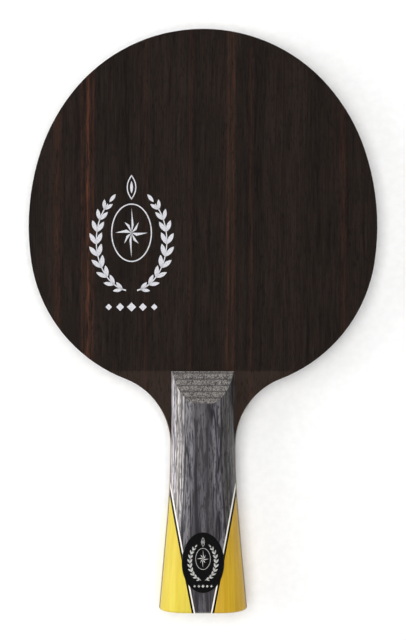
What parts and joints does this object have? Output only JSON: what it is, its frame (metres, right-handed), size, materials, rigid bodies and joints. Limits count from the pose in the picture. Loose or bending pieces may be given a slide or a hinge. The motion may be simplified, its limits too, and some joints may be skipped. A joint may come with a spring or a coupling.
{
  "type": "table tennis blade",
  "caption": "Oval table tennis bat without rubbers: a thin layered wooden head on a flared, inlaid handle with an oval badge.",
  "frame": {"origin": "centre of the overall box in X and Y, at the lowest point of the bat lying on its back", "axes": "+Y from the butt of the handle to the top of the head, +Z out of the front face that carries the badge, +X to the right seen from the front with the head up"},
  "size_m": [0.1502, 0.2506, 0.0232],
  "materials": {
    "ebony_veneer": "dark streaked veneer under a thin satin lacquer",
    "carbon_fleece": "resin-bonded carbon fleece, only its edge shows",
    "pale_veneer": "sanded veneer edge",
    "balsa": "sanded balsa edge",
    "grey_veneer_light": "dyed grey veneer, satin lacquer",
    "grey_veneer_dark": "dyed dark grey veneer, satin lacquer",
    "white_veneer": "bleached veneer, satin lacquer",
    "black_veneer": "black dyed veneer, satin lacquer",
    "yellow_wood": "yellow dyed wood, satin lacquer",
    "adhesive_tape": "double-sided tape",
    "white_ink": "screen-printed ink",
    "silver_ink": "metallic printed ink",
    "badge_enamel": "smooth gloss black"
  },
  "bodies": {
    "root": {"core_ply": "balsa", "inner_ply_front": "pale_veneer", "carbon_ply_front": "carbon_fleece", "face_ply_front": "ebony_veneer", "inner_ply_back": "pale_veneer", "carbon_ply_back": "carbon_fleece", "face_ply_back": "ebony_veneer", "front_veneer_1": "grey_veneer_light", "front_veneer_2": "grey_veneer_light", "front_veneer_3": "grey_veneer_light", "front_veneer_4": "grey_veneer_light", "front_veneer_5": "grey_veneer_light", "front_veneer_6_butt": "grey_veneer_dark", "front_veneer_6_neck": "grey_veneer_dark", "front_white_line_left": "white_veneer", "front_white_line_right": "white_veneer", "front_black_line_left": "black_veneer", "front_black_line_right": "black_veneer", "front_yellow_wedge_left": "yellow_wood", "front_yellow_wedge_right": "yellow_wood", "back_veneer_1": "grey_veneer_light", "back_veneer_2": "grey_veneer_light", "back_veneer_3": "grey_veneer_light", "back_veneer_4": "grey_veneer_light", "back_veneer_5": "grey_veneer_light", "back_veneer_6": "grey_veneer_dark", "back_white_line_left": "white_veneer", "back_white_line_right": "white_veneer", "back_black_line_left": "black_veneer", "back_black_line_right": "black_veneer", "back_yellow_wedge_left": "yellow_wood", "back_yellow_wedge_right": "yellow_wood", "badge_tape": "adhesive_tape", "badge_plate": "badge_enamel"}
  },
  "joints": []
}
